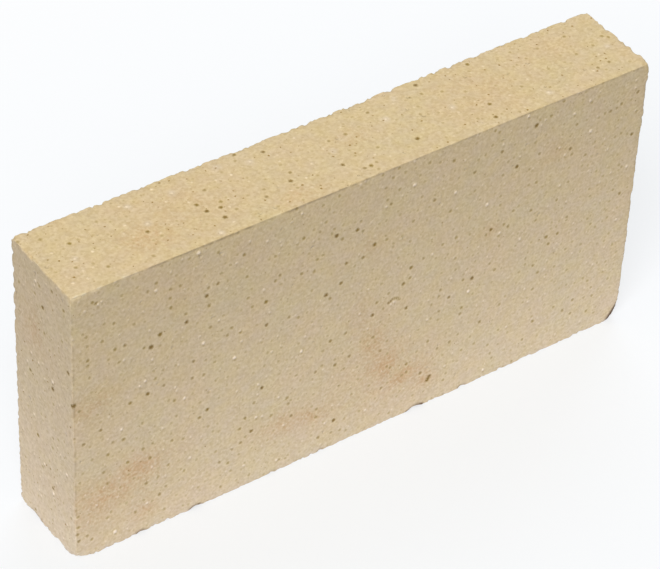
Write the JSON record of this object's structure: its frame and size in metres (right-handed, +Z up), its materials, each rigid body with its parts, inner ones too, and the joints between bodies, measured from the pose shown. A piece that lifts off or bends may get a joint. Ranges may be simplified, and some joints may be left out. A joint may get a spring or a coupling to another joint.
{
  "type": "refractory firebrick",
  "caption": "Thin rectangular fireclay brick with worn arrises and broken lower corners, standing on edge, for lining stoves, ovens, kilns and hearths.",
  "frame": {"origin": "middle of the base, which is the long narrow side that it stands on", "axes": "+X along its length, +Y through its thickness from the front bed face to the back one, +Z up"},
  "size_m": [0.23, 0.0356, 0.114],
  "materials": {
    "fireclay": "matte"
  },
  "bodies": {
    "root": {"firebrick": "fireclay"}
  },
  "joints": []
}
